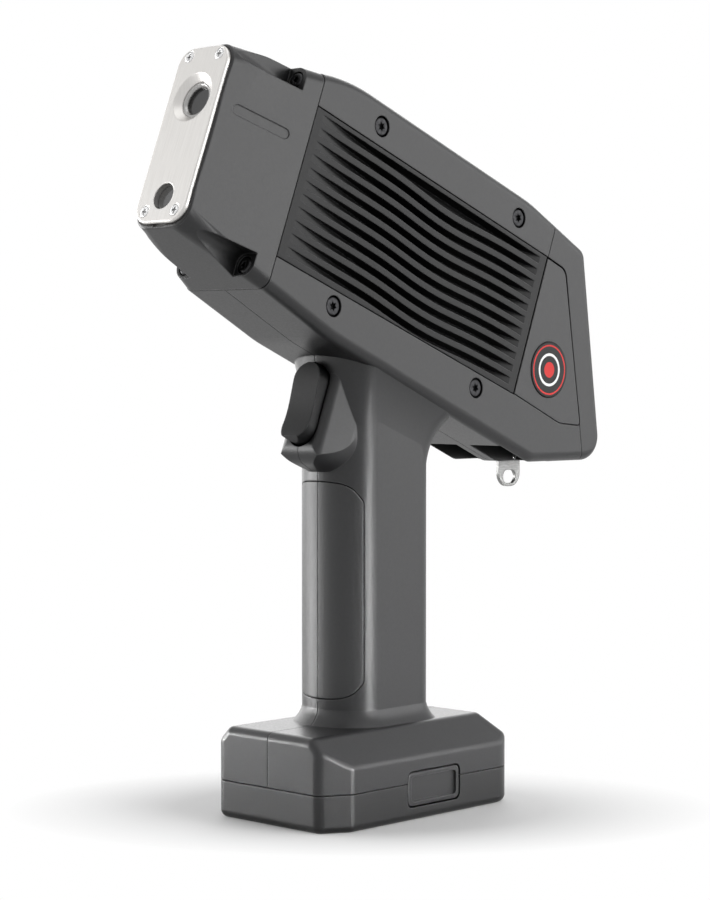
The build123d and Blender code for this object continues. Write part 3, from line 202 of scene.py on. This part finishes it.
def brushed(name, dark, pale, rough, grain, depth=0.000012):
    """Metal brushed along the direction in which the grain scale is small."""
    g = Graph(name)
    lines = g.noise(1.0, 2.0, 0.6, g.stretched(grain))
    g.colour(g.mix(g.spread(lines, 0.0, 1.0, 0.35, 0.65), dark, pale))
    g.rough(g.spread(lines, rough - 0.02, rough + 0.03))
    g.bump(lines, depth, 0.5)
    g.set(Metallic=1.0)
    return g.material


def plain_metal(name, dark, pale, rough, grain=900.0):
    g = Graph(name)
    g.colour(g.mix(g.spread(g.noise(grain, 3.0), 0.0, 1.0), dark, pale))
    g.rough(g.spread(g.noise(grain * 0.6, 2.0), rough - 0.05, rough + 0.08))
    g.bump(g.noise(grain * 2.0, 2.0), 0.00001, 0.4)
    g.set(Metallic=1.0)
    return g.material


def glossy(name, dark, pale, rough, coat=0.6, clouds=60.0):
    g = Graph(name)
    g.colour(g.mix(g.spread(g.noise(clouds, 3.0), 0.0, 1.0), dark, pale))
    g.rough(g.spread(g.noise(300.0, 2.0), rough - 0.03, rough + 0.05))
    g.bump(g.noise(700.0, 2.0), 0.000004, 0.3)
    g.set(Coat_Weight=coat, Coat_Roughness=0.08)
    return g.material


def circuit_board(name):
    """Solder-masked board with faint copper runs under the mask."""
    g = Graph(name)
    bricks = g.add("ShaderNodeTexBrick")
    bricks.inputs["Scale"].default_value = 330.0
    bricks.inputs["Mortar Size"].default_value = 0.03
    bricks.inputs["Color1"].default_value = (0.012, 0.07, 0.035, 1.0)
    bricks.inputs["Color2"].default_value = (0.015, 0.085, 0.04, 1.0)
    bricks.inputs["Mortar"].default_value = (0.05, 0.17, 0.08, 1.0)
    g.link(g.coords, bricks.inputs["Vector"])
    g.colour(bricks.outputs["Color"])
    g.rough(g.spread(g.noise(400.0), 0.28, 0.42))
    g.bump(bricks.outputs["Fac"], 0.00003, 0.3)
    return g.material


def badge_face(name, flank):
    """Black disc with a white ring and a red centre, under a clear coat."""
    g = Graph(name)
    distance = g.add("ShaderNodeVectorMath", operation="DISTANCE")
    distance.inputs[1].default_value = body_point(flank * BADGE_FACE, *BADGE_CENTRE)
    g.link(g.coords, distance.inputs[0])
    ramp = g.add("ShaderNodeValToRGB")
    ramp.color_ramp.interpolation = "CONSTANT"
    black, white, red = (0.003, 0.003, 0.0035, 1), (0.85, 0.85, 0.85, 1), (0.6, 0.02, 0.018, 1)
    bands = ((0.0, red), (0.28, black), (0.5, white), (0.59, black), (0.84, red), (0.9, black))
    while len(ramp.color_ramp.elements) < len(bands):
        ramp.color_ramp.elements.new(0.5)
    for element, (place, colour) in zip(ramp.color_ramp.elements, bands):
        element.position = place
        element.color = colour
    g.link(g.spread(distance.outputs["Value"], 0.0, 1.0, 0.0, BADGE_RADIUS), ramp.inputs["Fac"])
    g.colour(ramp.outputs["Color"])
    g.rough(g.spread(g.noise(500.0), 0.36, 0.44))
    g.bump(g.noise(900.0), 0.000004, 0.3)
    g.set(Coat_Weight=0.04, Coat_Roughness=0.1, Specular_IOR_Level=0.2)
    return g.material


CHARCOAL = ((0.0145, 0.0146, 0.0155), (0.018, 0.0181, 0.0191))
NEAR_BLACK = ((0.005, 0.0051, 0.0055), (0.008, 0.0081, 0.0086))

# One maker, and its values, for each material slot of the record.
LOOKS = {
    "housing_plastic": (moulded, *CHARCOAL, 0.36),
    "fin_plastic": (moulded, *NEAR_BLACK, 0.34, 2600.0, 0.00003, (0.16, 0.16, 0.165), 0.2),
    "trim_plastic": (moulded, (0.0175, 0.0176, 0.0187), (0.021, 0.0211, 0.0222), 0.36, 3200.0),
    "grip_rubber": (
        moulded,
        (0.012, 0.0121, 0.0128),
        (0.015, 0.0151, 0.0158),
        0.44,
        1500.0,
        0.00004,
        (0.16, 0.16, 0.165),
        0.5,
    ),
    "plate_steel": (
        brushed,
        (0.54, 0.527, 0.51),
        (0.6, 0.587, 0.57),
        0.36,
        (6000.0, 90.0, 90.0),
        0.000002,
    ),
    "ring_steel": (plain_metal, (0.3, 0.296, 0.292), (0.38, 0.375, 0.37), 0.24),
    "screw_steel": (plain_metal, (0.5, 0.5, 0.5), (0.66, 0.66, 0.66), 0.24),
    "screw_black": (plain_metal, (0.018, 0.018, 0.019), (0.04, 0.04, 0.042), 0.34),
    "film": (glossy, (0.004, 0.004, 0.005), (0.009, 0.009, 0.01), 0.16, 0.3, 200.0),
    "lens_glass": (glossy, (0.03, 0.031, 0.034), (0.06, 0.062, 0.066), 0.12, 1.0, 120.0),
    "module_black": (moulded, (0.012, 0.012, 0.013), (0.02, 0.02, 0.021), 0.45),
    "cast_alloy": (plain_metal, (0.42, 0.42, 0.43), (0.56, 0.56, 0.57), 0.45, 500.0),
    "tube_ceramic": (glossy, (0.62, 0.61, 0.58), (0.7, 0.69, 0.66), 0.3),
    "board_green": (circuit_board,),
    "supply_white": (
        moulded,
        (0.55, 0.55, 0.53),
        (0.62, 0.62, 0.6),
        0.5,
        2600.0,
        0.00003,
        (0.7, 0.7, 0.7),
    ),
    "glass_dark": (glossy, (0.004, 0.0045, 0.006), (0.007, 0.0075, 0.01), 0.07, 0.0, 30.0),
    "display_grey": (glossy, (0.05, 0.055, 0.06), (0.065, 0.07, 0.075), 0.2),
    "key_plastic": (moulded, (0.06, 0.06, 0.062), (0.075, 0.075, 0.078), 0.42),
    "tab_steel": (brushed, (0.2, 0.2, 0.197), (0.3, 0.3, 0.296), 0.38, (300.0, 300.0, 5000.0)),
    "trigger_plastic": (
        moulded,
        *NEAR_BLACK,
        0.4,
        3200.0,
        0.00003,
        (0.16, 0.16, 0.165),
        0.2,
    ),
    "cell_wrap": (glossy, (0.02, 0.07, 0.2), (0.03, 0.09, 0.25), 0.3),
    "contact_gold": (plain_metal, (0.72, 0.5, 0.2), (0.85, 0.62, 0.28), 0.22),
    # Darker copy of the housing plastic: painted shade for the foot.
    "foot_plastic": (moulded, (0.009, 0.0091, 0.0097), (0.012, 0.0121, 0.0127), 0.36),
}
looks = {name: maker(name, *values) for name, (maker, *values) in LOOKS.items()}

# Pieces that take another look than their slot's: the foot is darker than the housings, a
# darker copy of the housing plastic that paints shade onto the foot.
OTHER_LOOK = {"battery_foot": "foot_plastic"}

for part in frame["record"]["subparts"]:
    name = part["node"]
    slot = OTHER_LOOK.get(name, part["material_slot"])
    if slot == "badge_face":
        material = badge_face(name + "_face", 1 if name.startswith("left") else -1)
    else:
        material = looks[slot]
    mesh = frame["nodes"][name].data
    mesh.materials.clear()
    mesh.materials.append(material)


# ---- Floor, lights and camera ----


def direct_rays(tree):
    """One for rays that show the surround, in view, in a reflection or through glass."""
    rays = tree.nodes.new("ShaderNodeLightPath")
    shown = rays.outputs["Is Camera Ray"]
    for kind in ("Is Glossy Ray", "Is Transmission Ray"):
        either = tree.nodes.new("ShaderNodeMath")
        either.operation = "MAXIMUM"
        tree.links.new(shown, either.inputs[0])
        tree.links.new(rays.outputs[kind], either.inputs[1])
        shown = either.outputs[0]
    return shown


def floor_material():
    """Pale floor that keeps the soft shadow and fades to plain white away from the object."""
    g = Graph("floor")
    g.colour(g.mix(g.spread(g.noise(3.0), 0.0, 1.0), (0.72, 0.72, 0.72), (0.74, 0.74, 0.74)))
    g.rough(g.spread(g.noise(8.0), 0.75, 0.85))
    seen = direct_rays(g.tree)
    lift = g.add("ShaderNodeMath", operation="MULTIPLY")
    g.link(seen, lift.inputs[0])
    lift.inputs[1].default_value = FLOOR_LIFT
    g.shader.inputs["Emission Color"].default_value = (1.0, 1.0, 1.0, 1.0)
    g.link(lift.outputs[0], g.shader.inputs["Emission Strength"])
    oval = g.add("ShaderNodeMapping", vector_type="TEXTURE")
    oval.inputs["Rotation"].default_value = (0.0, 0.0, AZIMUTH)
    oval.inputs["Scale"].default_value = (*FLOOR_REACH, 1.0)
    g.link(g.coords, oval.inputs["Vector"])
    reach = g.add("ShaderNodeVectorMath", operation="LENGTH")
    g.link(oval.outputs["Vector"], reach.inputs[0])
    away = g.spread(reach.outputs["Value"], 0.0, 1.0, *FLOOR_FADE)
    share = g.add("ShaderNodeMath", operation="MULTIPLY")
    g.link(away, share.inputs[0])
    g.link(seen, share.inputs[1])
    paper_white = g.add("ShaderNodeEmission")
    paper_white.inputs["Color"].default_value = (1.0, 1.0, 1.0, 1.0)
    blend = g.add("ShaderNodeMixShader")
    g.link(share.outputs[0], blend.inputs[0])
    g.link(g.shader.outputs[0], blend.inputs[1])
    g.link(paper_white.outputs[0], blend.inputs[2])
    g.link(blend.outputs[0], g.tree.nodes["Material Output"].inputs["Surface"])
    return g.material


bpy.ops.mesh.primitive_plane_add(size=FLOOR_SIZE, location=(0.0, 0.0, 0.0))
floor = bpy.context.object
floor.name = "studio_floor"
floor.data.materials.append(floor_material())

world = bpy.data.worlds.new("studio")
bpy.context.scene.world = world
world.use_nodes = True
tree = world.node_tree
ground = tree.nodes["Background"]
ground.inputs["Color"].default_value = (1.0, 1.0, 1.0, 1.0)
ground.inputs["Strength"].default_value = AMBIENT
paper = tree.nodes.new("ShaderNodeBackground")
paper.inputs["Color"].default_value = (1.0, 1.0, 1.0, 1.0)
paper.inputs["Strength"].default_value = 1.0
choose = tree.nodes.new("ShaderNodeMixShader")
tree.links.new(direct_rays(tree), choose.inputs[0])
tree.links.new(ground.outputs[0], choose.inputs[1])
tree.links.new(paper.outputs[0], choose.inputs[2])
tree.links.new(choose.outputs[0], tree.nodes["World Output"].inputs["Surface"])


def softbox(name, place, aim, width, height, power, spread=180.0):
    """Area lamp at a place, turned to its aim. Power in watts, spread in degrees."""
    light = bpy.data.lights.new(name, "AREA")
    light.shape = "RECTANGLE"
    light.size = width
    light.size_y = height
    light.energy = power
    light.spread = math.radians(spread)
    lamp = bpy.data.objects.new(name, light)
    bpy.context.collection.objects.link(lamp)
    lamp.visible_camera = False
    lamp.location = place
    lamp.rotation_euler = (Vector(aim) - Vector(place)).to_track_quat("-Z", "Y").to_euler()


softbox("key_left", (-0.7, -1.3, 0.9), (0.0, 0.0, 0.14), 1.3, 1.0, 1.2)
softbox("left_side", (-1.4, 0.1, 0.35), (0.0, 0.0, 0.12), 1.3, 1.1, 10.0)
softbox("left_front_low", (-1.3, -0.75, 0.1), (0.0, 0.0, 0.1), 0.9, 0.6, 23.0)
softbox("right_side", (1.4, 0.35, 0.45), (0.0, 0.0, 0.13), 1.0, 1.1, 12.5)
softbox("right_back", (0.95, 1.1, 0.4), (0.0, 0.0, 0.13), 1.1, 1.0, 7.0)
softbox("rear_left", (-0.9, 1.1, 0.6), (0.0, 0.0, 0.15), 1.1, 1.0, 7.0)
softbox("top", (0.1, 0.1, 1.3), (0.0, 0.0, 0.1), 1.1, 1.1, 3.0)
softbox("base_left", (-0.55, -0.33, 0.04), (0.0, 0.0, 0.015), 0.4, 0.05, 0.08, 20.0)
softbox("base_right", (0.75, 0.12, 0.05), (0.0, 0.0, 0.015), 0.5, 0.06, 0.3, 25.0)

toward = Vector((math.sin(AZIMUTH), -math.cos(AZIMUTH), 0.0))
right = Vector((math.cos(AZIMUTH), math.sin(AZIMUTH), 0.0))
back = toward * math.cos(PITCH) + Vector((0.0, 0.0, math.sin(PITCH)))
up = back.cross(right)
place = toward * CAMERA_DISTANCE + right * CAMERA_SHIFT + Vector((0.0, 0.0, CAMERA_HEIGHT))
optics = bpy.data.cameras.new("camera")
optics.sensor_width = SENSOR
optics.lens = FOCAL_PIXELS / IMAGE_HEIGHT * SENSOR
optics.clip_end = 100.0
camera = bpy.data.objects.new("camera", optics)
bpy.context.collection.objects.link(camera)
turn = Matrix((right, up, back)).transposed().to_4x4()
camera.matrix_world = Matrix.Translation(place) @ turn
bpy.context.scene.camera = camera
bpy.context.scene.view_settings.view_transform = "Standard"
